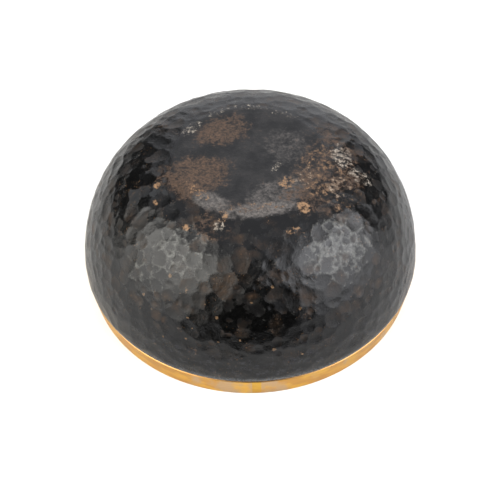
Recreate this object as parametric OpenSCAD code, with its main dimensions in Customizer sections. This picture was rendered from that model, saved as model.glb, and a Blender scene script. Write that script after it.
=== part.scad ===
// Hammered copper bowl with a brass rim binding, standing upturned on its rim.
// +Z points up. The origin is the centre of the mouth, on the plane that the rim stands on.
// Turned over about the X axis, the bowl stands on its flat base, ready for use.

/* [Bowl] */
// Outer diameter of the mouth, over the rim band
mouth_d = 200; // [160:5:240]
// How far the wall widens from its foot up to the band's top edge
flare = 2.2; // [0:0.1:4]
// How far the wall steps out over the band's top edge
overhang = 1.8; // [0.5:0.1:3]
// Height of the widest part of the wall above the mouth
belly_z = 18.5; // [17:0.5:24]
// Height of the full crown above the widest part, before the base is flattened
crown_h = 76; // [56:1:84]
// Squareness of the shoulder, seen across the bowl
shoulder_power = 4; // [2.4:0.1:4.4]
// Squareness of the crown, seen up the bowl
crown_power = 1.65; // [1.5:0.05:2.2]
// Radius of the flat base
base_r = 43; // [32:1:54]
// Thickness of the raised copper sheet
wall_t = 1.5; // [1:0.1:2.5]

/* [Rim band] */
// Height of the band's outer leg
band_h = 14; // [10:0.5:16]
// Height of the folded leg inside the mouth
leg_h = 6; // [4:0.5:8]
// Thickness of the brass strip
band_t = 0.8; // [0.5:0.1:1.2]
// Bevel on the outer leg's top edge
band_bevel = 0.3; // [0.1:0.05:0.4]
// Thickness of the soft solder between the strip and the bowl
solder_t = 0.15; // [0.1:0.05:0.3]

/* [Seam] */
// Width of the brazed joint between the strip's two ends
seam_w = 5.2; // [2:0.2:10]
// Direction of the joint, counted from +X towards +Y
seam_at = 271.2; // [0:0.2:359.8]

/* [Hidden] */
$fn = 180;

// Foot of the wall inside the strip, the neck at the strip's top edge, the belly, and the base's corner
foot_r = mouth_d / 2 - band_t - solder_t;
foot_z = band_t + solder_t;
neck_r = foot_r + flare;
belly_r = neck_r + overhang;
base_angle = acos(pow(base_r / belly_r, shoulder_power / 2));

// Straight stretches that follow each curved part of the outline
overhang_steps = 8;
crown_steps = 26;

// Arc that the seam takes up
seam_angle = seam_w / (mouth_d / 2) * 180 / PI;
seam_start = seam_at - seam_angle / 2;

// Colours
copper_dark = [0.17, 0.165, 0.16];
brass_gold = [0.88, 0.66, 0.34];
brazing_gold = [0.90, 0.68, 0.25];
solder_grey = [0.70, 0.69, 0.66];

// The wall's outer radius at a height behind the strip
function skirt_r(z) = foot_r + flare * z / band_h;

// A point where the wall steps out over the strip: 0 is the strip's top edge, 90 is the belly
function overhang_point(a) = [neck_r + overhang * sin(a), belly_z - (belly_z - band_h) * cos(a)];

// A point on the crown: 0 is the belly, 90 would be the pole of the full crown
function crown_point(t) =
    [belly_r * pow(cos(t), 2 / shoulder_power), belly_z + crown_h * pow(sin(t), 2 / crown_power)];

// The crown's outward direction at that point
function crown_normal(t) =
    let (
        across = shoulder_power / belly_r * pow(cos(t), 2 * (1 - 1 / shoulder_power)),
        up = crown_power / crown_h * pow(sin(t), 2 * (1 - 1 / crown_power))
    )
    [across, up] / norm([across, up]);

// The corner where the offset crown meets the offset base
function inner_corner(n) = crown_point(base_angle) - wall_t * (n + [0, 1]) / (1 + n[1]);

// Values from a up to b in n steps, without b
function steps(a, b, n) = [for (i = [0 : n - 1]) a + (b - a) * i / n];
function flipped(p) = [for (i = [len(p) - 1 : -1 : 0]) p[i]];

// Points beside the skirt, d outside its outer face
function side(heights, d) = [for (z = heights) [skirt_r(z) + d, z]];

overhang_angles = steps(0, 90, overhang_steps);
crown_angles = steps(0, base_angle, crown_steps);
base_top = crown_point(base_angle)[1];

// Offsets of the faces from the wall's outer face
film_out = solder_t;
band_out = solder_t + band_t;
film_in = -wall_t - solder_t;
band_in = -wall_t - solder_t - band_t;

// The raised copper shell: one sheet, open at the mouth, flat at the base
module bowl_body() {
    outer = concat(
        side([foot_z], 0),
        [for (a = overhang_angles) overhang_point(a)],
        [for (t = crown_angles) crown_point(t)],
        [crown_point(base_angle)]
    );
    inner = concat(
        side([foot_z, band_h], -wall_t),
        [for (t = crown_angles) crown_point(t) - wall_t * crown_normal(t)],
        [inner_corner(crown_normal(base_angle))]
    );
    color(copper_dark)
        rotate_extrude()
            polygon(concat(outer, [[0, base_top], [0, base_top - wall_t]], flipped(inner)));
}

// Section of the strip that is folded over the mouth's edge
module band_section() {
    polygon(concat(
        side([0, band_h - band_bevel], band_out),
        side([band_h], band_out - band_bevel),
        side([band_h, band_t], film_out),
        side([band_t, leg_h], film_in),
        side([leg_h, 0], band_in)
    ));
}

// The brass strip, bent round the mouth and open where its ends meet
module rim_band() {
    color(brass_gold)
        rotate_extrude(angle = 360 - seam_angle, start = seam_start + seam_angle)
            band_section();
}

// The brazing that joins the strip's two ends, dressed flush with it
module band_seam() {
    color(brazing_gold)
        rotate_extrude(angle = seam_angle, start = seam_start)
            band_section();
}

// Soft solder that fills the gap between the strip and the copper
module solder_film() {
    color(solder_grey)
        rotate_extrude()
            polygon(concat(
                side([band_t, band_h], film_out),
                side([band_h, foot_z], 0),
                side([foot_z, leg_h], -wall_t),
                side([leg_h, band_t], film_in)
            ));
}

bowl_body();
rim_band();
band_seam();
solder_film();
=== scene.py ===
"""Looks of the hammered copper bowl, upturned on its brass-bound rim.

Lengths are in millimetres until a mesh is made, which is in metres. Directions round the bowl are
azimuths in degrees: 0 faces the camera (-Y), 90 is to its right (+X).
"""

import math

import bpy
import numpy as np
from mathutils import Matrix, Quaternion, Vector


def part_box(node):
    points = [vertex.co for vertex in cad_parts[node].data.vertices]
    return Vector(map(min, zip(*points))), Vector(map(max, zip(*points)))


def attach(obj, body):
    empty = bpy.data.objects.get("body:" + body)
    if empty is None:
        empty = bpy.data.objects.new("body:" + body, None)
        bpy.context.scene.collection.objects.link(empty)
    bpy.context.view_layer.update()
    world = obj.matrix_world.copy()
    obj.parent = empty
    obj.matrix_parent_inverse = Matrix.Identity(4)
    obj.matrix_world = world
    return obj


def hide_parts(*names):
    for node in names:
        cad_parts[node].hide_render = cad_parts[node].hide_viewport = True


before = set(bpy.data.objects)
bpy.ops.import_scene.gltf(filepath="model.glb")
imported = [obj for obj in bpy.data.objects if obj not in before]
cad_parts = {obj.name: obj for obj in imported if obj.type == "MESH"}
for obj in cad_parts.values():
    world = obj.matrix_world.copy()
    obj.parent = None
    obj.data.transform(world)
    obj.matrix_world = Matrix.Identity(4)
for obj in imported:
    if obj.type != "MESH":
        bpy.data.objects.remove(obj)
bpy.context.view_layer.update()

MM = 0.001

# The rim strip, the solder behind it and the brazed joint between its ends, as the CAD has them
BAND_H = 14.0
LEG_H = 6.0
BAND_T = 0.8
SOLDER_T = 0.15
SEAM_W = 5.2
SEAM_AZ = 1.2

# The wall's outline, as the CAD has it
FOOT_Z = BAND_T + SOLDER_T
BELLY_Z = 18.5
CROWN_H = 76.0
FLARE = 2.2
OVERHANG = 1.8
SHOULDER_POWER = 4.0
CROWN_POWER = 1.65
BASE_R = 43.0
WALL_T = 1.5
BELLY_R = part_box("bowl_body")[1].x / MM
NECK_R = BELLY_R - OVERHANG
FOOT_R = NECK_R - FLARE
MOUTH_R = FOOT_R + SOLDER_T + BAND_T
TOP_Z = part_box("bowl_body")[1].z / MM
HALF_SEAM = math.degrees(SEAM_W / 2 / MOUTH_R)

# Camera
CAMERA_EL = 48.3
CAMERA_ROLL = -1.1
CAMERA_DISTANCE = 700.0
CAMERA_AIM = (-0.24, 0.0, 12.4)
CAMERA_LENS = 80.0
CAMERA_SENSOR = 36.0


# ---------------------------------------------------------------- outline and directions

def around(azimuth):
    """Unit vectors in plan, pointing outwards at these azimuths in radians."""
    return np.stack([np.sin(azimuth), -np.cos(azimuth), np.zeros_like(azimuth)], -1)


def skirt_r(z):
    """The wall's outer radius behind the strip."""
    return FOOT_R + FLARE * z / BAND_H


def ramp(value, low, high):
    """Smooth step from 0 at low to 1 at high."""
    t = np.clip((value - low) / (high - low), 0, 1)
    return t * t * (3 - 2 * t)


def even_steps(points, step):
    """The polyline again, with its points evenly spaced."""
    run = np.r_[0, np.cumsum(np.linalg.norm(np.diff(points, axis=0), axis=1))]
    at = np.linspace(0, run[-1], int(run[-1] / step) + 1)
    return np.stack([np.interp(at, run, points[:, i]) for i in range(2)], 1), at


class Outline:
    """A face of the wall from the middle of the base to the foot, by distance along it."""

    STEP = 0.25
    EASE = 2.5  # how gently the flat base turns into the crown
    EASE_FROM = 12.0  # height above the belly from which up that easing is whole
    CROWN_POINTS = 500

    def __init__(self, below_belly):
        edge = math.acos((BASE_R / BELLY_R) ** (SHOULDER_POWER / 2))
        t = np.linspace(edge, 0, self.CROWN_POINTS)
        crown_r = BELLY_R * np.cos(t) ** (2 / SHOULDER_POWER)
        crown_z = BELLY_Z + CROWN_H * np.sin(t) ** (2 / CROWN_POWER)
        parts = [[(0, TOP_Z)], np.stack([crown_r, crown_z], 1), below_belly]
        line, self.s = even_steps(np.concatenate(parts), self.STEP)
        shape = ramp(line[:, 1], BELLY_Z, BELLY_Z + self.EASE_FROM)[:, None]
        self.line = line + (self.eased(line) - line) * shape
        along = np.gradient(self.line, axis=0)
        along /= np.linalg.norm(along, axis=1)[:, None]
        self.normal = np.stack([-along[:, 1], along[:, 0]], 1)
        self.length = self.s[-1]

    def eased(self, line):
        """Rounds the corners with a bell-shaped average, which leaves both ends where they are."""
        reach = int(4 * self.EASE / self.STEP)
        offsets = np.arange(-reach, reach + 1)
        weights = np.exp(-0.5 * (offsets * self.STEP / self.EASE) ** 2)
        weights /= weights.sum()
        before = 2 * line[0] - line[reach:0:-1]
        after = 2 * line[-1] - line[-2:-reach - 2:-1]
        padded = np.concatenate([before, line, after])
        return np.stack([np.convolve(padded[:, i], weights, "valid") for i in range(2)], 1)

    def at(self, s):
        """Radius, height and outward direction at these distances."""
        look = lambda values: np.interp(s, self.s, values)
        r, z = look(self.line[:, 0]), look(self.line[:, 1])
        nr, nz = look(self.normal[:, 0]), look(self.normal[:, 1])
        return r, z, nr, nz

    def where(self, z):
        """The distance at which the wall comes down to this height."""
        return float(np.interp(-z, -self.line[:, 1], self.s))

    def spots(self, s, azimuth):
        """Points and outward directions on the face, for distances and azimuths of the same shape."""
        r, z, nr, nz = self.at(s)
        out = around(azimuth)
        up = np.array([0.0, 0.0, 1.0])
        points = out * r[..., None] + up * z[..., None]
        normals = out * nr[..., None] + up * nz[..., None]
        return points, normals


def overhang(turns):
    """The wall's step in towards the strip's top edge, from the belly down."""
    a = np.linspace(math.pi / 2, 0, turns)
    return np.stack([NECK_R + OVERHANG * np.sin(a), BELLY_Z - (BELLY_Z - BAND_H) * np.cos(a)], 1)


FOOT = (skirt_r(FOOT_Z), FOOT_Z)
OUTLINE = Outline([*overhang(24)[1:], FOOT])
LINING = Outline([(NECK_R, BAND_H), FOOT])


# ---------------------------------------------------------------- hammer marks

class Blows:
    """Hammer marks: each is a shallow dish, and the face is the lowest of them everywhere."""

    BLEND = 0.014  # how far the ridges between marks are rubbed down
    RIDGE = 0.13  # how much lower one mark has to be than the next for its ridge to fade
    REACH = 1.5  # how far out a mark is worked out, in its own radii
    DULL_TO = 1.3  # where a mark's dullness has faded out, as its radius squared

    def __init__(self):
        self.rows = []

    def add(self, s, azimuth, across, down, depth, turn, tilt, dull, tone):
        """One mark: its place, half sizes, depth, turn, slopes, dullness and shade."""
        self.rows.append((s, azimuth, across, down, depth, turn, *tilt, dull, tone))

    def read(self, points):
        """Height of the face against the plain wall, and the marks' values at each point."""
        table = np.array(self.rows)
        centres, normals = OUTLINE.spots(table[:, 0], table[:, 1])
        sideways = np.stack([np.cos(table[:, 1]), np.sin(table[:, 1]), np.zeros(len(table))], 1)
        downwards = np.cross(sideways, normals)
        total = np.ones(len(points))
        dull = np.zeros(len(points))
        tone = np.full(len(points), 0.5)
        middle = np.zeros(len(points))
        lowest = np.zeros(len(points))
        second = np.ones(len(points))
        for row, centre, e1, e2 in zip(table, centres, sideways, downwards):
            across, down, depth, turn, tilt_x, tilt_y, dullness, shade = row[2:]
            reach = self.REACH * max(across, down)
            offset = points - centre
            near = np.flatnonzero((offset * offset).sum(1) < reach * reach)
            offset = offset[near]
            x, y = offset @ e1, offset @ e2
            u = (x * math.cos(turn) + y * math.sin(turn)) / across
            v = (y * math.cos(turn) - x * math.sin(turn)) / down
            ring = u * u + v * v
            dish = depth * (ring - 1) + tilt_x * u + tilt_y * v
            weight = np.exp(-dish / self.BLEND)
            total[near] += weight
            dull[near] += weight * dullness * np.clip(2 * (self.DULL_TO - ring), 0, 1)
            tone[near] += weight * shade
            middle[near] += weight * np.clip(1 - ring, 0, 1)
            second[near] = np.minimum(second[near], np.maximum(lowest[near], dish))
            lowest[near] = np.minimum(lowest[near], dish)
        found = {
            "dull": dull / total,
            "tone": tone / total,
            "middle": middle / total,
            "ridge": np.exp((lowest - second) / self.RIDGE),
        }
        return -self.BLEND * np.log(total), found


HAMMER_R = 80.0  # radius of the hammer's face
COURSE_PITCH = (8.6, 12.0)  # between the marks of a course: by the base and by the rim
COURSE_STEP = (7.8, 7.2)  # from one course to the next: by the base and by the rim
SMALL_TRIES = 820  # small marks, thinned out towards the base
STAKE_STEP = 9.0  # between the courses of stake marks inside


def dish_depth(size):
    """Depth of the dish that the hammer leaves in a mark of this half size."""
    return size ** 2 / (2 * HAMMER_R)


def planished_course(blows, rng, s):
    """One course of planishing marks, which are wider by the rim. Returns where the next one goes."""
    r, z, _, _ = OUTLINE.at(np.array([s]))
    soft = float(ramp(z[0], 46, 20))
    pitch, step = (start + (end - start) * soft for start, end in (COURSE_PITCH, COURSE_STEP))
    count = round(2 * math.pi * r[0] / pitch)
    phase = rng.uniform(0, 1)
    for i in range(count):
        azimuth = 2 * math.pi * (i + phase) / count + rng.normal(0, 1.7) / r[0]
        size = rng.uniform(3.9, 6.4)
        blows.add(
            s + rng.normal(0, 1.6),
            azimuth,
            across=size * (1 + 0.55 * soft),
            down=size * rng.uniform(0.8, 1.1),
            depth=dish_depth(size) * rng.uniform(1.4, 2.7) * (1 - 0.1 * soft),
            turn=rng.uniform(-0.6, 0.6),
            tilt=rng.normal(0, 0.10 + 0.03 * soft, 2),
            dull=rng.choice([0.0, 0.35, 0.65, 1.0], p=[0.35, 0.2, 0.25, 0.2]),
            tone=rng.uniform(0, 1),
        )
    return s + step


def small_blow(blows, rng, s):
    """One small deep mark, struck over the planishing."""
    size = rng.uniform(2.1, 3.9)
    blows.add(
        s,
        rng.uniform(0, 2 * math.pi),
        across=size,
        down=size * rng.uniform(0.65, 1.0),
        depth=dish_depth(size) + rng.uniform(0.22, 0.42),
        turn=rng.uniform(-1.5, 1.5),
        tilt=rng.normal(0, 0.03, 2),
        dull=rng.choice([0.2, 0.7, 1.0], p=[0.25, 0.35, 0.4]),
        tone=rng.uniform(0, 1),
    )


def outside_blows():
    """Planishing marks in rough courses from the base to the rim, and smaller ones over them."""
    rng = np.random.default_rng(7)
    blows = Blows()
    last = OUTLINE.where(BAND_H) + 2
    s = BASE_R + 2.0
    while s < last:
        s = planished_course(blows, rng, s)
    for _ in range(SMALL_TRIES):
        s = rng.uniform(BASE_R + 3, last - 14)
        if rng.uniform(0, BELLY_R) <= OUTLINE.at(np.array([s]))[0][0]:
            small_blow(blows, rng, s)
    return blows


def inside_blows():
    """Wide soft marks left on the inside by the stake."""
    rng = np.random.default_rng(11)
    blows = Blows()
    for s in np.arange(8.0, OUTLINE.length - 8, STAKE_STEP):
        r = OUTLINE.at(np.array([s]))[0][0]
        count = max(3, round(2 * math.pi * r / 10))
        phase = rng.uniform(0, 1)
        for i in range(count):
            size = rng.uniform(5.5, 7.5)
            blows.add(
                s + rng.normal(0, 1.5),
                2 * math.pi * (i + phase) / count + rng.normal(0, 1.5) / max(r, 4),
                across=size,
                down=size,
                depth=rng.uniform(0.22, 0.40),
                turn=0.0,
                tilt=rng.normal(0, 0.05, 2),
                dull=0.0,
                tone=rng.uniform(0, 1),
            )
    return blows


# ---------------------------------------------------------------- meshes

def make_mesh(name, points, faces, material_of_face=None, attributes=None):
    """A smooth-shaded mesh object from points in millimetres."""
    mesh = bpy.data.meshes.new(name)
    mesh.from_pydata((points * MM).tolist(), [], faces)
    mesh.update()
    mesh.polygons.foreach_set("use_smooth", [True] * len(mesh.polygons))
    if material_of_face is not None:
        mesh.polygons.foreach_set("material_index", material_of_face)
    for key, values in (attributes or {}).items():
        attribute = mesh.attributes.new(key, "FLOAT", "POINT")
        attribute.data.foreach_set("value", values.astype(np.float32))
    piece = bpy.data.objects.new(name, mesh)
    bpy.context.scene.collection.objects.link(piece)
    return piece


class RingStack:
    """Rings of points one after another, joined by strips of triangles."""

    GOLDEN = 0.618034

    def __init__(self):
        self.counts, self.starts, self.phases = [], [], []
        self.s, self.azimuth, self.inner = [], [], []
        self.total = 0

    def ring(self, s, spacing, inner):
        """One ring at this distance from the base's middle, on the outer or the inner face."""
        r = (LINING if inner else OUTLINE).at(np.array([s]))[0][0]
        count = max(6, round(2 * math.pi * r / spacing))
        phase = (len(self.counts) * self.GOLDEN) % 1
        self.counts.append(count)
        self.starts.append(self.total)
        self.phases.append(phase)
        self.s.append(np.full(count, s))
        self.azimuth.append(2 * math.pi * (np.arange(count) + phase) / count)
        self.inner.append(np.full(count, inner))
        self.total += count

    def strip(self, a, b):
        """Triangles between ring a and ring b: each edge takes the nearest point of the other ring."""
        na, nb = self.counts[a], self.counts[b]
        i, j = np.arange(na), np.arange(nb)
        middle = (i + self.phases[a] + 0.5) / na
        apex = np.ceil(middle * nb - self.phases[b] - 0.5).astype(int) % nb
        upper = np.stack([self.starts[a] + i, self.starts[b] + apex, self.starts[a] + (i + 1) % na], 1)
        middle = (j + self.phases[b] + 0.5) / nb
        apex = (np.floor(middle * na - self.phases[a] - 0.5).astype(int) + 1) % na
        lower = np.stack([self.starts[b] + j, self.starts[b] + (j + 1) % nb, self.starts[a] + apex], 1)
        return np.concatenate([upper, lower])


# Spacing of the mesh's rings: smooth base, hammered wall, wall behind the strip, inside
BASE_GRID, WALL_GRID, FOOT_GRID, INSIDE_GRID = 1.2, 0.86, 1.6, 2.5


def shell_rings():
    """Rings from the middle of the base out to the foot, then back up the inside."""
    stack = RingStack()
    band_top = OUTLINE.where(BAND_H)
    runs = [
        (np.arange(BASE_GRID, BASE_R - 4, BASE_GRID), BASE_GRID, False),
        (np.arange(BASE_R - 3.6, band_top - 0.4, WALL_GRID), WALL_GRID, False),
        (np.linspace(band_top, OUTLINE.length, 5), FOOT_GRID, False),
        (np.linspace(LINING.length, 2.4, int(LINING.length / INSIDE_GRID)), INSIDE_GRID, True),
    ]
    for distances, spacing, inner in runs:
        for s in distances:
            stack.ring(s, spacing, inner)
    return stack


def shell_faces(stack):
    """The strips between the rings, and a fan round the middle of each face of the base."""
    strips = [stack.strip(k, k + 1) for k in range(len(stack.counts) - 1)]
    outer_pole, inner_pole = stack.total, stack.total + 1
    i = np.arange(stack.counts[0])
    first = np.stack([np.full_like(i, outer_pole), i, (i + 1) % len(i)], 1)
    j, start = np.arange(stack.counts[-1]), stack.starts[-1]
    last = np.stack([np.full_like(j, inner_pole), start + (j + 1) % len(j), start + j], 1)
    return np.concatenate([first, *strips, last])


def bowl_shell():
    """The hammered copper shell, both faces, as one closed mesh.

    Its points hold what the patina needs: each mark's dullness, tone, middle and ridges, how far the
    wall is worked, the skirt near the rim, the lip above the strip for painted light, each listed patch
    of worn or crusted patina, and the painted highlight on the ridges.
    """
    stack = shell_rings()
    faces = shell_faces(stack)
    s = np.concatenate([*stack.s, [0, 0]])
    azimuth = np.concatenate([*stack.azimuth, [0, 0]])
    inner = np.concatenate([*stack.inner, [False, True]])
    points, normals = OUTLINE.spots(s, azimuth)
    lining, lining_normals = LINING.spots(s, azimuth)
    points[inner], normals[inner] = lining[inner], lining_normals[inner]
    material = inner[faces].any(axis=1).astype(int)

    height, marks = outside_blows().read(points)
    z = points[:, 2]
    worked = ramp(s, BASE_R - 1, BASE_R + 5) * ramp(z, BAND_H + 0.3, BAND_H + 4)
    height = height * worked + waves(points)
    stake = inside_blows().read(points)[0]
    points[~inner] += (normals * np.minimum(height, 0)[:, None])[~inner]
    points[inner] -= (normals * (WALL_T + stake)[:, None])[inner]
    attributes = {key: values * worked for key, values in marks.items()}
    attributes["worked"] = worked
    attributes["skirt"] = ramp(z, 50, 26)
    # Painted light: marks the band just above the strip where a pale bluish colour is painted over the
    # shade
    attributes["lip"] = ramp(z, BAND_H + 5.5, BAND_H + 2)
    attributes.update(wear_and_painted_highlight(s, azimuth, points))
    return make_mesh("bowl_shell", points, faces.tolist(), material.tolist(), attributes)


def waves(points):
    """Long shallow unevenness of a hand-raised wall."""
    x, y, z = points.T
    wave = np.sin(x / 13 + 1.3) * np.sin(y / 17 + 0.4) + np.sin(y / 11 - z / 19) * np.sin(x / 19 + 2)
    wave *= ramp(z, BAND_H + 1, BAND_H + 8)
    return 0.06 * (wave - 2)


# Worn patches, crust, and the painted highlight on the ridges: kind, distance from the base's middle,
# azimuth, reach down the wall, reach round it, strength
WORN_AND_PAINTED_HIGHLIGHT = [
    ("brown", 27, 212, 13, 18, 0.95),
    ("brown", 33, -66, 20, 17, 0.95),
    ("brown", 46, 75, 22, 36, 0.66),
    ("brown", 34, 40, 9, 12, 0.55),
    ("brown", 40, 0, 5, 22, 0.42),
    ("brown", 58, -20, 10, 12, 0.42),
    ("orange", 46, 75, 22, 32, 0.86),
    ("orange", 64, 62, 10, 20, 0.80),
    ("orange", 30, 44, 6, 7, 1.05),
    ("orange", 50, 37, 6, 5, 1.1),
    ("orange", 60, 23, 3, 6, 1.0),
    ("orange", 48, -18, 6, 4, 1.0),
    ("orange", 40, -46, 5, 13, 0.92),
    ("orange", 27, 212, 12, 16, 0.68),
    ("orange", 33, -66, 18, 16, 0.70),
    ("orange", 40, 5, 5, 24, 0.80),
    ("orange", 62, -35, 3, 3, 1.15),
    ("orange", 56, -70, 3, 3, 1.2),
    ("orange", 62, -60, 2, 3, 1.2),
    ("orange", 76, -78, 12, 14, 0.7),
    ("orange", 94, -24, 5, 3, 0.9),
    ("cream", 54, 92, 9, 14, 1.0),
    ("cream", 66, 80, 12, 8, 0.95),
    ("cream", 56, 66, 10, 12, 0.82),
    ("cream", 36, 62, 9, 12, 0.82),
    ("cream", 42, 232, 6, 12, 0.9),
    ("cream", 44, 205, 4, 14, 0.88),
    ("cream", 44, 178, 4, 14, 0.9),
    ("cream", 43, 152, 5, 16, 0.82),
    ("cream", 18, 62, 3, 8, 0.95),
    ("cream", 55, -18, 5, 5, 0.95),
    ("pale", 42, 8, 6, 24, 1.1),
    ("pale", 41, -32, 7, 14, 0.9),
    ("pale", 34, 28, 12, 22, 0.75),
    ("pale", 24, 110, 16, 18, 0.5),
    # Painted highlight: ridges are drawn pale only in these patches, where the soft boxes' highlights
    # fall, on top of ridges worn pale
    ("rubbed_and_painted_highlight", 80, 40, 18, 22, 1.0),
    ("rubbed_and_painted_highlight", 74, -32, 16, 18, 0.8),
    ("rubbed_and_painted_highlight", 92, -42, 16, 18, 0.5),
    ("crust", 62, -76, 18, 22, 1.0),
    ("crust", 78, 100, 14, 14, 0.9),
]

# Pin-prick losses of the patina on the front: distance, azimuth, radius
PIN_PRICKS = [
    (90, -32, 1.2),
    (108, -40, 1.0),
    (96, 0, 0.8),
    (106, -12, 1.1),
    (110, -22, 0.8),
    (116, -20, 0.8),
    (124, -22, 0.9),
    (119, -4, 0.8),
    (126, 7, 1.2),
    (103, 17, 1.0),
    (88, 8, 1.0),
    (121, -11, 0.6),
    (133, 16, 0.8),
    (112, 32, 0.7),
    (128, -30, 0.8),
]


def wear_and_painted_highlight(s, azimuth, points):
    """How far each listed patch reaches, from 0 to 1, at each point: worn or crusted patina, pin-pricks,
    and the painted highlight on the ridges.
    """
    spots = WORN_AND_PAINTED_HIGHLIGHT + [("prick", at_s, at_azimuth, size, size, 1.0) for at_s, at_azimuth, size in PIN_PRICKS]
    found = {kind: np.zeros(len(s)) for kind, *_ in spots}
    for kind, at_s, at_azimuth, down, round_about, strength in spots:
        centre = OUTLINE.spots(np.array([float(at_s)]), np.radians([float(at_azimuth)]))[0][0]
        turn = np.radians(at_azimuth)
        sideways = np.array([math.cos(turn), math.sin(turn), 0.0])
        offset = points - centre
        x = offset @ sideways
        rest = (offset ** 2).sum(1) - x ** 2
        ring = np.sqrt((x / round_about) ** 2 + rest / down ** 2)
        found[kind] = np.maximum(found[kind], strength * (1 - ramp(ring, 0.5, 1.4)))
    return found


# Rounding of the strip's top edge: how far in from its outer face, and how far down from its top
TOP_SHOULDER = 0.6
TOP_ROUND = [(0.10, 0.40), (0.26, 0.22)]

# Rounding of its fold, which stands on the ground: the corner's size, and the point halfway round it
FOLD_CORNER = 0.3
FOLD_IN, FOLD_UP = 0.09, 0.08

BRAZE_REACH = 11.0  # how far the brazing's heat reached, in degrees round the rim
SHARP_ANGLE = 50.0


def strip_section():
    """The folded strip's section as (radius, height) points, outer leg first, anticlockwise."""
    beside = lambda z, d: (skirt_r(z) + d, z)
    front = SOLDER_T + BAND_T
    back = -WALL_T - front
    outer = [beside(z, front) for z in np.linspace(FOLD_CORNER, BAND_H - TOP_SHOULDER, 12)]
    top = [(skirt_r(BAND_H) + front - inwards, BAND_H - down) for inwards, down in TOP_ROUND]
    channel = [beside(z, SOLDER_T) for z in (BAND_H, LEG_H, BAND_T)]
    channel += [beside(z, -WALL_T - SOLDER_T) for z in (BAND_T, LEG_H)]
    inner = [beside(z, back) for z in np.linspace(LEG_H, FOLD_CORNER, 4)]
    fold = [
        (FOOT_R + back + FOLD_IN, FOLD_UP),
        (FOOT_R + back + FOLD_CORNER, 0.0),
        (FOOT_R + front - FOLD_CORNER, 0.0),
        (FOOT_R + front - FOLD_IN, FOLD_UP),
    ]
    return np.array(outer + top + channel + inner + fold)


def strip_arc(name, start, end, step):
    """A length of the folded strip between two azimuths in degrees, closed at both ends.

    Its points hold the distance run along the strip, the rise up it and the brazing's heat.
    """
    section = strip_section()
    count = int((end - start) / step) + 1
    azimuth = np.radians(np.linspace(start, end, count))
    r, z = section[:, 0], section[:, 1]
    grid_a, grid_r = np.meshgrid(azimuth, r, indexing="ij")
    grid_z = np.broadcast_to(z, grid_r.shape)
    points = around(grid_a) * grid_r[..., None]
    points[..., 2] = grid_z
    n = len(section)
    faces = []
    for i in range(count - 1):
        for k in range(n):
            a, b = i * n + k, i * n + (k + 1) % n
            faces.append((a, b, b + n, a + n))
    faces.append(tuple(range(n - 1, -1, -1)))
    faces.append(tuple(range((count - 1) * n, count * n)))
    run = (grid_a * BELLY_R).ravel()
    rise = np.array(grid_z).ravel()
    gap = (np.degrees(grid_a).ravel() - SEAM_AZ + 180) % 360 - 180
    attributes = {"run": run, "rise": rise, "braze": np.exp(-((gap / BRAZE_REACH) ** 2))}
    piece = make_mesh(name, points.reshape(-1, 3), faces, attributes=attributes)
    piece.data.set_sharp_from_angle(angle=math.radians(SHARP_ANGLE))
    return piece


# ---------------------------------------------------------------- materials

class Nodes:
    """A node tree, built by naming each node's inputs."""

    def __init__(self, owner):
        owner.use_nodes = True
        self.tree = owner.node_tree
        self.tree.nodes.clear()

    def node(self, kind, inputs=None, out=0, **settings):
        """A new node. An input is a value or another node's output, and out=None is for an end node."""
        made = self.tree.nodes.new("ShaderNode" + kind)
        for key, value in settings.items():
            setattr(made, key, value)
        for key, value in (inputs or {}).items():
            if isinstance(value, bpy.types.NodeSocket):
                self.tree.links.new(value, made.inputs[key])
            else:
                made.inputs[key].default_value = value
        return None if out is None else made.outputs[out]

    def math(self, operation, a, b):
        """Arithmetic on two values, either of which may be another node's output."""
        return self.node("Math", {0: a, 1: b}, operation=operation)

    def times(self, a, b):
        return self.math("MULTIPLY", a, b)

    def plus(self, a, b):
        return self.math("ADD", a, b)

    def minus(self, a, b):
        return self.math("SUBTRACT", a, b)

    def highest(self, a, *others):
        """The largest of several values."""
        for b in others:
            a = self.math("MAXIMUM", a, b)
        return a

    def step(self, value, low, high):
        """Smooth step from 0 at low to 1 at high."""
        inputs = {"Value": value, "From Min": low, "From Max": high}
        return self.node("MapRange", inputs, interpolation_type="SMOOTHSTEP")

    def range(self, value, low, high):
        """From low where the value is 0 to high where it is 1."""
        return self.node("MapRange", {"Value": value, "To Min": low, "To Max": high})


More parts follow.
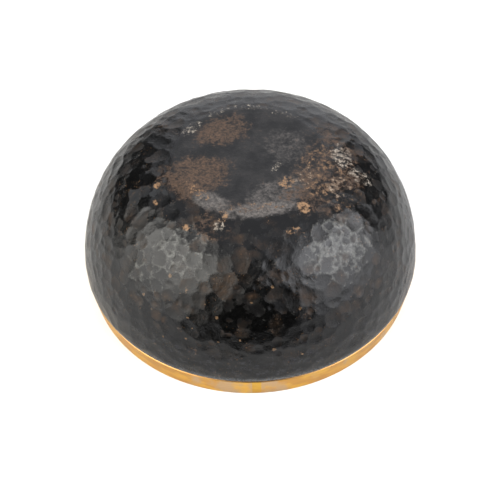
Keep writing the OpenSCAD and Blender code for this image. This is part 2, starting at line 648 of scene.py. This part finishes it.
class Shader(Nodes):
    """A material."""

    def __init__(self, name):
        self.material = bpy.data.materials.new(name)
        super().__init__(self.material)

    def attribute(self, name):
        """A value that the mesh holds at each point."""
        return self.node("Attribute", attribute_name=name, out="Fac")

    def noise(self, size_mm, detail=3.0, roughness=0.5, stretch=(1, 1, 1), vector=None):
        """Noise from about 0 to 1 whose largest features are this many millimetres across."""
        vector = vector or self.node("TexCoord", out="Object")
        scale = tuple(1 / (size_mm * MM * k) for k in stretch)
        placed = self.node("VectorMath", {0: vector, 1: scale}, operation="MULTIPLY")
        inputs = {"Vector": placed, "Scale": 1.0, "Detail": detail, "Roughness": roughness}
        return self.node("TexNoise", inputs)

    def mix(self, factor, a, b):
        """Colour a where the factor is 0, colour b where it is 1."""
        a, b = ((*c, 1.0) if isinstance(c, tuple) else c for c in (a, b))
        return self.node("Mix", {0: factor, 6: a, 7: b}, out=2, data_type="RGBA")

    def darker(self, colour, share):
        """The colour with this share of black in it."""
        return self.mix(share, colour, (0.0, 0.0, 0.0))

    def bump(self, height, depth_mm):
        """Fine relief from a value between 0 and 1, this many millimetres deep."""
        return self.node("Bump", {"Height": height, "Distance": depth_mm * MM})

    def ragged(self, mask, noise, spread, low, high):
        """A soft mask cut by noise into a ragged one."""
        shifted = self.node("Math", {0: noise, 1: spread, 2: mask}, operation="MULTIPLY_ADD")
        return self.step(self.minus(shifted, spread / 2), low, high)

    def finish(self, **inputs):
        """The material with these inputs on its shader, where _ stands for a space."""
        named = {key.replace("_", " "): value for key, value in inputs.items()}
        surface = self.node("BsdfPrincipled", named)
        self.node("OutputMaterial", {"Surface": surface}, out=None)
        return self.material


class Patina(Shader):
    """Black waxed patina: glossy on the lands, dull in most hammer marks, worn through in places, with
    painted highlights on some ridges and painted light just above the strip.
    """

    # Colours. A pair is mixed by noise or by a mark's own shade, its darker one first
    LAND = (0.0006, 0.0006, 0.0006), (0.0030, 0.0030, 0.0030)
    MARK = (0.0010, 0.0010, 0.0011), (0.0100, 0.0092, 0.0086)
    WARM_MARK = (0.030, 0.017, 0.009)
    CRUST = (0.018, 0.019, 0.021)
    BASE = (0.004, 0.004, 0.0045), (0.019, 0.018, 0.0185)
    # Pale ridge colours: partly worn metal, partly a painted highlight where the soft boxes shine
    RIDGE = (0.036, 0.037, 0.035), (0.105, 0.104, 0.098)
    SCUFF = (0.019, 0.019, 0.023)
    PALE = (0.035, 0.032, 0.031), (0.13, 0.118, 0.112)
    BROWN = (0.015, 0.011, 0.008), (0.088, 0.052, 0.033)
    ORANGE = (0.10, 0.045, 0.020), (0.32, 0.20, 0.11)
    CREAM = (0.30, 0.265, 0.225)
    SPECK = (0.12, 0.068, 0.034)
    # Painted light: pale bluish colour over the shade in the crease just above the strip
    LIP_PAINTED_LIGHT = (0.008, 0.009, 0.011), (0.070, 0.078, 0.090)
    PRICK = (0.045, 0.026, 0.012), (0.17, 0.105, 0.060)
    GLOSS_TINT = (0.955, 0.96, 1.0, 1.0)
    WAX_IOR = 1.4
    RELIEF_MM = 0.22

    def __init__(self):
        super().__init__("patinated_copper")
        self.cloud = self.noise(12, detail=5, roughness=0.6)
        self.mottle = self.noise(3.0, detail=6, roughness=0.65)
        self.grain = self.noise(1.3, detail=4, roughness=0.7)
        self.fine = self.step(self.grain, 0.3, 0.7)
        self.skirt = self.attribute("skirt")
        self.worked = self.attribute("worked")
        self.flat = self.minus(1.0, self.worked)
        dull = self.ragged(self.attribute("dull"), self.mottle, 0.8, 0.05, 0.95)
        self.dull = self.times(dull, self.range(self.skirt, 1.0, 0.5))

    def coat(self):
        """The black coat on the hammered wall, with a greyer crust in some marks."""
        land = self.mix(self.mottle, *self.LAND)
        mark = self.mix(self.attribute("tone"), *self.MARK)
        warmth = self.times(self.attribute("middle"), self.step(self.cloud, 0.4, 0.65))
        warmth = self.times(warmth, self.range(self.skirt, 1.0, 0.2))
        mark = self.mix(warmth, mark, self.WARM_MARK)
        mark = self.mix(self.fine, self.darker(mark, 0.45), mark)
        colour = self.mix(self.dull, land, mark)
        return self.mix(self.times(self.attribute("crust"), self.dull), colour, self.CRUST)

    def base(self, colour):
        """The smooth base, which is evenly dull with clouds."""
        base = self.mix(self.step(self.cloud, 0.35, 0.65), *self.BASE)
        base = self.mix(self.fine, self.darker(base, 0.4), base)
        return self.mix(self.flat, colour, base)

    def ridges(self, colour):
        """Pale lines along the ridges between marks, partly worn metal and partly a painted highlight
        where the soft boxes shine on the wall.
        """
        # Painted highlight: the pale ridges reach only the listed patches under the soft boxes, and fade
        # out of the skirt
        reach = self.range(self.attribute("rubbed_and_painted_highlight"), -0.45, 0.30)
        ridge = self.math("POWER", self.attribute("ridge"), 0.6)
        ridge = self.times(ridge, self.minus(1.0, self.skirt))
        rubbed_and_painted_highlight = self.ragged(self.plus(ridge, reach), self.mottle, 2.4, 0.5, 1.25)
        rubbed_and_painted_highlight = self.times(rubbed_and_painted_highlight, self.range(self.cloud, 0.4, 1.4))
        return self.mix(rubbed_and_painted_highlight, colour, self.mix(self.fine, *self.RIDGE))

    def scuffs(self, colour):
        """Thin scuffs along the rim's side of the wall."""
        scuffs = self.step(self.noise(6, detail=8, roughness=0.85, stretch=(1, 1, 0.6)), 0.50, 0.62)
        return self.mix(self.times(scuffs, self.skirt), colour, self.SCUFF)

    def losses(self, colour):
        """Places where the black is worn thin or gone, and how far it is gone."""
        pale = self.ragged(self.attribute("pale"), self.mottle, 1.4, 0.25, 1.1)
        pale = self.times(pale, self.step(self.cloud, 0.25, 0.48))
        colour = self.mix(pale, colour, self.mix(self.fine, *self.PALE))
        worn = self.plus(self.attribute("brown"), self.times(self.minus(self.cloud, 0.5), 1.8))
        brown = self.ragged(worn, self.mottle, 1.8, 0.3, 0.95)
        colour = self.mix(brown, colour, self.mix(self.fine, *self.BROWN))
        scatter = self.mix(0.5, self.mottle, self.noise(0.9, detail=4, roughness=0.8))
        orange = self.ragged(self.attribute("orange"), scatter, 3.4, 0.92, 1.25)
        colour = self.mix(orange, colour, self.mix(self.mottle, *self.ORANGE))
        cream = self.ragged(self.attribute("cream"), scatter, 3.6, 0.95, 1.3)
        colour = self.mix(cream, colour, self.CREAM)
        return colour, self.highest(brown, orange, cream, pale)

    def specks(self, colour):
        """Copper specks, painted light over the shaded crease just above the strip, and pin-pricks."""
        specks = self.step(self.noise(0.9, detail=1), 0.70, 0.76)
        specks = self.times(specks, self.step(self.cloud, 0.48, 0.60))
        colour = self.mix(self.times(specks, self.worked), colour, self.SPECK)
        # Painted light over the shaded crease just above the strip
        lip = self.mix(self.step(self.grain, 0.4, 0.6), *self.LIP_PAINTED_LIGHT)
        colour = self.mix(self.attribute("lip"), colour, lip)
        prick = self.ragged(self.attribute("prick"), self.grain, 0.8, 0.35, 0.7)
        return self.mix(prick, colour, self.mix(self.fine, *self.PRICK))

    def made(self):
        """The finished material."""
        colour = self.scuffs(self.ridges(self.base(self.coat())))
        colour, gone = self.losses(colour)
        roughness = self.plus(self.range(self.mottle, 0.08, 0.30), self.times(self.dull, 0.15))
        roughness = self.highest(roughness, self.times(self.highest(self.flat, gone), 0.5))
        relief = self.plus(self.mottle, self.times(self.grain, 0.35))
        return self.finish(
            Base_Color=self.specks(colour),
            Roughness=roughness,
            IOR=self.WAX_IOR,
            Specular_Tint=self.GLOSS_TINT,
            Normal=self.bump(relief, self.RELIEF_MM),
        )


def bare_copper():
    """The inside: warm bare copper with soft variation."""
    sh = Shader("bare_copper")
    cloud = sh.noise(22, detail=4)
    grain = sh.noise(1.5, detail=4)
    return sh.finish(
        Base_Color=sh.mix(cloud, (0.52, 0.22, 0.13), (0.72, 0.36, 0.23)),
        Metallic=1.0,
        Roughness=sh.range(grain, 0.26, 0.42),
        Normal=sh.bump(grain, 0.02),
    )


# Brass colours: deep, rich, and pale where the brazing's heat reached
STRIP_GOLD = (0.62, 0.32, 0.055), (0.76, 0.44, 0.058), (0.58, 0.39, 0.21)
BRAZING_GOLD = (0.62, 0.34, 0.033), (0.71, 0.42, 0.043), (0.66, 0.42, 0.12)
BRUSHED_SHADE = (0.30, 0.14, 0.03)
# Painted shade on the strip's top edge, darkening its reflection of the soft boxes
EDGE_PAINTED_SHADE = (0.40, 0.22, 0.085)


def brass(name, colours, pale_level):
    """Satin brass, brushed along the strip, with painted shade on its top edge. The lower the pale level,
    the more of it is pale.
    """
    deep, rich, pale = colours
    sh = Shader(name)
    place = sh.node("CombineXYZ", {"X": sh.attribute("run"), "Y": sh.attribute("rise")})
    place = sh.node("VectorMath", {0: place, 1: (MM, MM, MM)}, operation="MULTIPLY")
    stretch = sh.noise(9, detail=3, stretch=(2.0, 0.9, 1), vector=place)
    patch = sh.noise(11, detail=4, stretch=(1.0, 1.6, 1), vector=place)
    brushing = sh.noise(0.9, detail=3, stretch=(18, 1, 1), vector=place)
    colour = sh.mix(sh.step(stretch, 0.42, 0.58), deep, rich)
    heated = sh.plus(patch, sh.times(sh.attribute("braze"), 0.22))
    colour = sh.mix(sh.step(heated, pale_level - 0.04, pale_level + 0.16), colour, pale)
    colour = sh.mix(sh.step(brushing, 0.35, 0.65), sh.mix(0.16, colour, BRUSHED_SHADE), colour)
    # Painted shade: the top edge is darkened to tone down its reflection of the soft boxes
    edge = sh.step(sh.attribute("rise"), BAND_H - 0.6, BAND_H - 0.3)
    return sh.finish(
        Base_Color=sh.mix(edge, colour, EDGE_PAINTED_SHADE),
        Metallic=1.0,
        Roughness=sh.range(brushing, 0.22, 0.46),
        Normal=sh.bump(brushing, 0.03),
    )


def solder():
    """Dull grey tin solder."""
    sh = Shader("soft_solder")
    cloud = sh.noise(3, detail=4)
    colour = sh.mix(cloud, (0.20, 0.19, 0.17), (0.42, 0.40, 0.37))
    return sh.finish(Base_Color=colour, Metallic=1.0, Roughness=sh.range(cloud, 0.4, 0.6))


def floor_finish():
    """White paper, shown a little brighter than it lights the bowl, as an overexposed sweep is."""
    sh = Shader("studio_floor")
    seen = sh.node("LightPath", out="Is Camera Ray")
    return sh.finish(
        Base_Color=(0.60, 0.60, 0.60, 1.0),
        Roughness=0.9,
        Emission_Color=(1.0, 1.0, 1.0, 1.0),
        Emission_Strength=sh.times(seen, 0.36),
    )


# ---------------------------------------------------------------- studio

# The white sweep: how far it reaches, and how far it comes towards the camera
FLOOR_REACH = 2000.0
FLOOR_FRONT = 225.0

# The studio's walls: their colour, their light on the bowl, and how bright they look to the camera
WALL_COLOUR = (0.79, 0.80, 0.83, 1.0)
WALL_GLOW = 1.15
WALL_SEEN = 1.4

# Patches of the walls that differ from the rest: azimuth, elevation, half width, soft edge, level
PATCHES = [
    (0, -6, 36, 8, 0.05),
    (0, 24, 46, 14, 0.10),
    (-125, 12, 36, 6, 0.06),
    (122, 12, 31, 6, 0.11),
    (180, 6, 42, 14, 1.5),
]

# Soft boxes: azimuth, elevation, width and height in degrees, distance in metres, colour, glow
WARM_WHITE = (1.0, 0.97, 0.87)
PLAIN_WHITE = (1.0, 1.0, 1.0)
SOFT_BOXES = {
    "soft_box_left": (-63, 27, 60, 58, 1.3, WARM_WHITE, 2.6),
    "soft_core_left": (-62, 44, 50, 34, 1.2, WARM_WHITE, 3.2),
    "soft_box_right": (66, 26, 60, 56, 1.3, PLAIN_WHITE, 2.3),
    "soft_core_right": (68, 44, 48, 38, 1.2, PLAIN_WHITE, 2.8),
}


def direction(azimuth, elevation):
    """Unit vector from the bowl, for angles in degrees."""
    a, e = math.radians(azimuth), math.radians(elevation)
    return Vector((math.sin(a) * math.cos(e), -math.cos(a) * math.cos(e), math.sin(e)))


def add_camera():
    """The camera, in front and above, rolled very slightly."""
    data = bpy.data.cameras.new("camera")
    data.lens = CAMERA_LENS
    data.sensor_width = CAMERA_SENSOR
    data.clip_start = 0.01
    data.clip_end = 50.0
    camera = bpy.data.objects.new("camera", data)
    aim = Vector(CAMERA_AIM) * MM
    camera.location = aim + direction(0, CAMERA_EL) * CAMERA_DISTANCE * MM
    level = (aim - camera.location).to_track_quat("-Z", "Y")
    camera.rotation_euler = (level @ Quaternion((0, 0, 1), math.radians(CAMERA_ROLL))).to_euler()
    bpy.context.scene.collection.objects.link(camera)
    bpy.context.scene.camera = camera


def add_soft_box(name, azimuth, elevation, wide, high, distance, colour, glow):
    """A rectangular soft light, sized by the angles that it fills as seen from the bowl."""
    data = bpy.data.lights.new(name, "AREA")
    data.shape = "RECTANGLE"
    data.color = colour
    data.size = 2 * distance * math.tan(math.radians(wide / 2))
    data.size_y = 2 * distance * math.tan(math.radians(high / 2))
    data.energy = glow * math.pi * data.size * data.size_y
    lamp = bpy.data.objects.new(name, data)
    lamp.location = direction(azimuth, elevation) * distance
    lamp.rotation_euler = lamp.location.to_track_quat("Z", "Y").to_euler()
    lamp.visible_camera = False
    bpy.context.scene.collection.objects.link(lamp)


def add_world():
    """A white studio that is darker behind the camera and at two sides, and brighter at the back."""
    world = bpy.data.worlds.new("studio")
    nodes = Nodes(world)
    ray = nodes.node("TexCoord", out="Generated")
    level = WALL_GLOW
    for azimuth, elevation, half, soft, share in PATCHES:
        towards = {0: ray, 1: direction(azimuth, elevation)}
        inputs = {
            "Value": nodes.node("VectorMath", towards, out="Value", operation="DOT_PRODUCT"),
            "From Min": math.cos(math.radians(half + soft)),
            "From Max": math.cos(math.radians(half - soft)),
            "To Min": 1.0,
            "To Max": share,
        }
        level = nodes.times(level, nodes.node("MapRange", inputs, interpolation_type="SMOOTHSTEP"))
    seen = nodes.node("LightPath", out="Is Camera Ray")
    strength = nodes.node("Mix", {0: seen, 2: level, 3: WALL_SEEN}, data_type="FLOAT")
    background = nodes.node("Background", {"Color": WALL_COLOUR, "Strength": strength})
    nodes.node("OutputWorld", {"Surface": background}, out=None)
    bpy.context.scene.world = world


def add_floor():
    """The white sweep that the bowl stands on."""
    low, high = (-FLOOR_REACH, -FLOOR_FRONT), (FLOOR_REACH, FLOOR_REACH)
    corners = [(low[0], low[1], 0), (high[0], low[1], 0), (high[0], high[1], 0), (low[0], high[1], 0)]
    floor = make_mesh("floor", np.array(corners), [(0, 1, 2, 3)])
    floor.data.materials.append(floor_finish())


# ---------------------------------------------------------------- the object

def add_piece(piece, node, slot, *materials):
    """Gives a piece its materials and its place in the frame, and hides the CAD node that it stands for.
    """
    for material in materials:
        piece.data.materials.append(material)
    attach(piece, "root")
    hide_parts(node)


STRIP_STEP = 0.5  # degrees between the strip's sections
seam_start, seam_end = SEAM_AZ - HALF_SEAM, SEAM_AZ + HALF_SEAM
shell = bowl_shell()
add_piece(shell, "bowl_body", "patinated_copper", Patina().made(), bare_copper())
strip = strip_arc("brass_strip", seam_end, seam_start + 360, STRIP_STEP)
add_piece(strip, "rim_band", "brass_strip", brass("brass_strip", STRIP_GOLD, 0.56))
joint = strip_arc("strip_joint", seam_start, seam_end, STRIP_STEP)
add_piece(joint, "band_seam", "brazing", brass("brazing", BRAZING_GOLD, 1.2))
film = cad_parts["solder_film"]
film.data.materials.clear()
film.data.materials.append(solder())

add_floor()
add_world()
for name, box in SOFT_BOXES.items():
    add_soft_box(name, *box)
add_camera()
bpy.context.scene.view_settings.view_transform = "Standard"
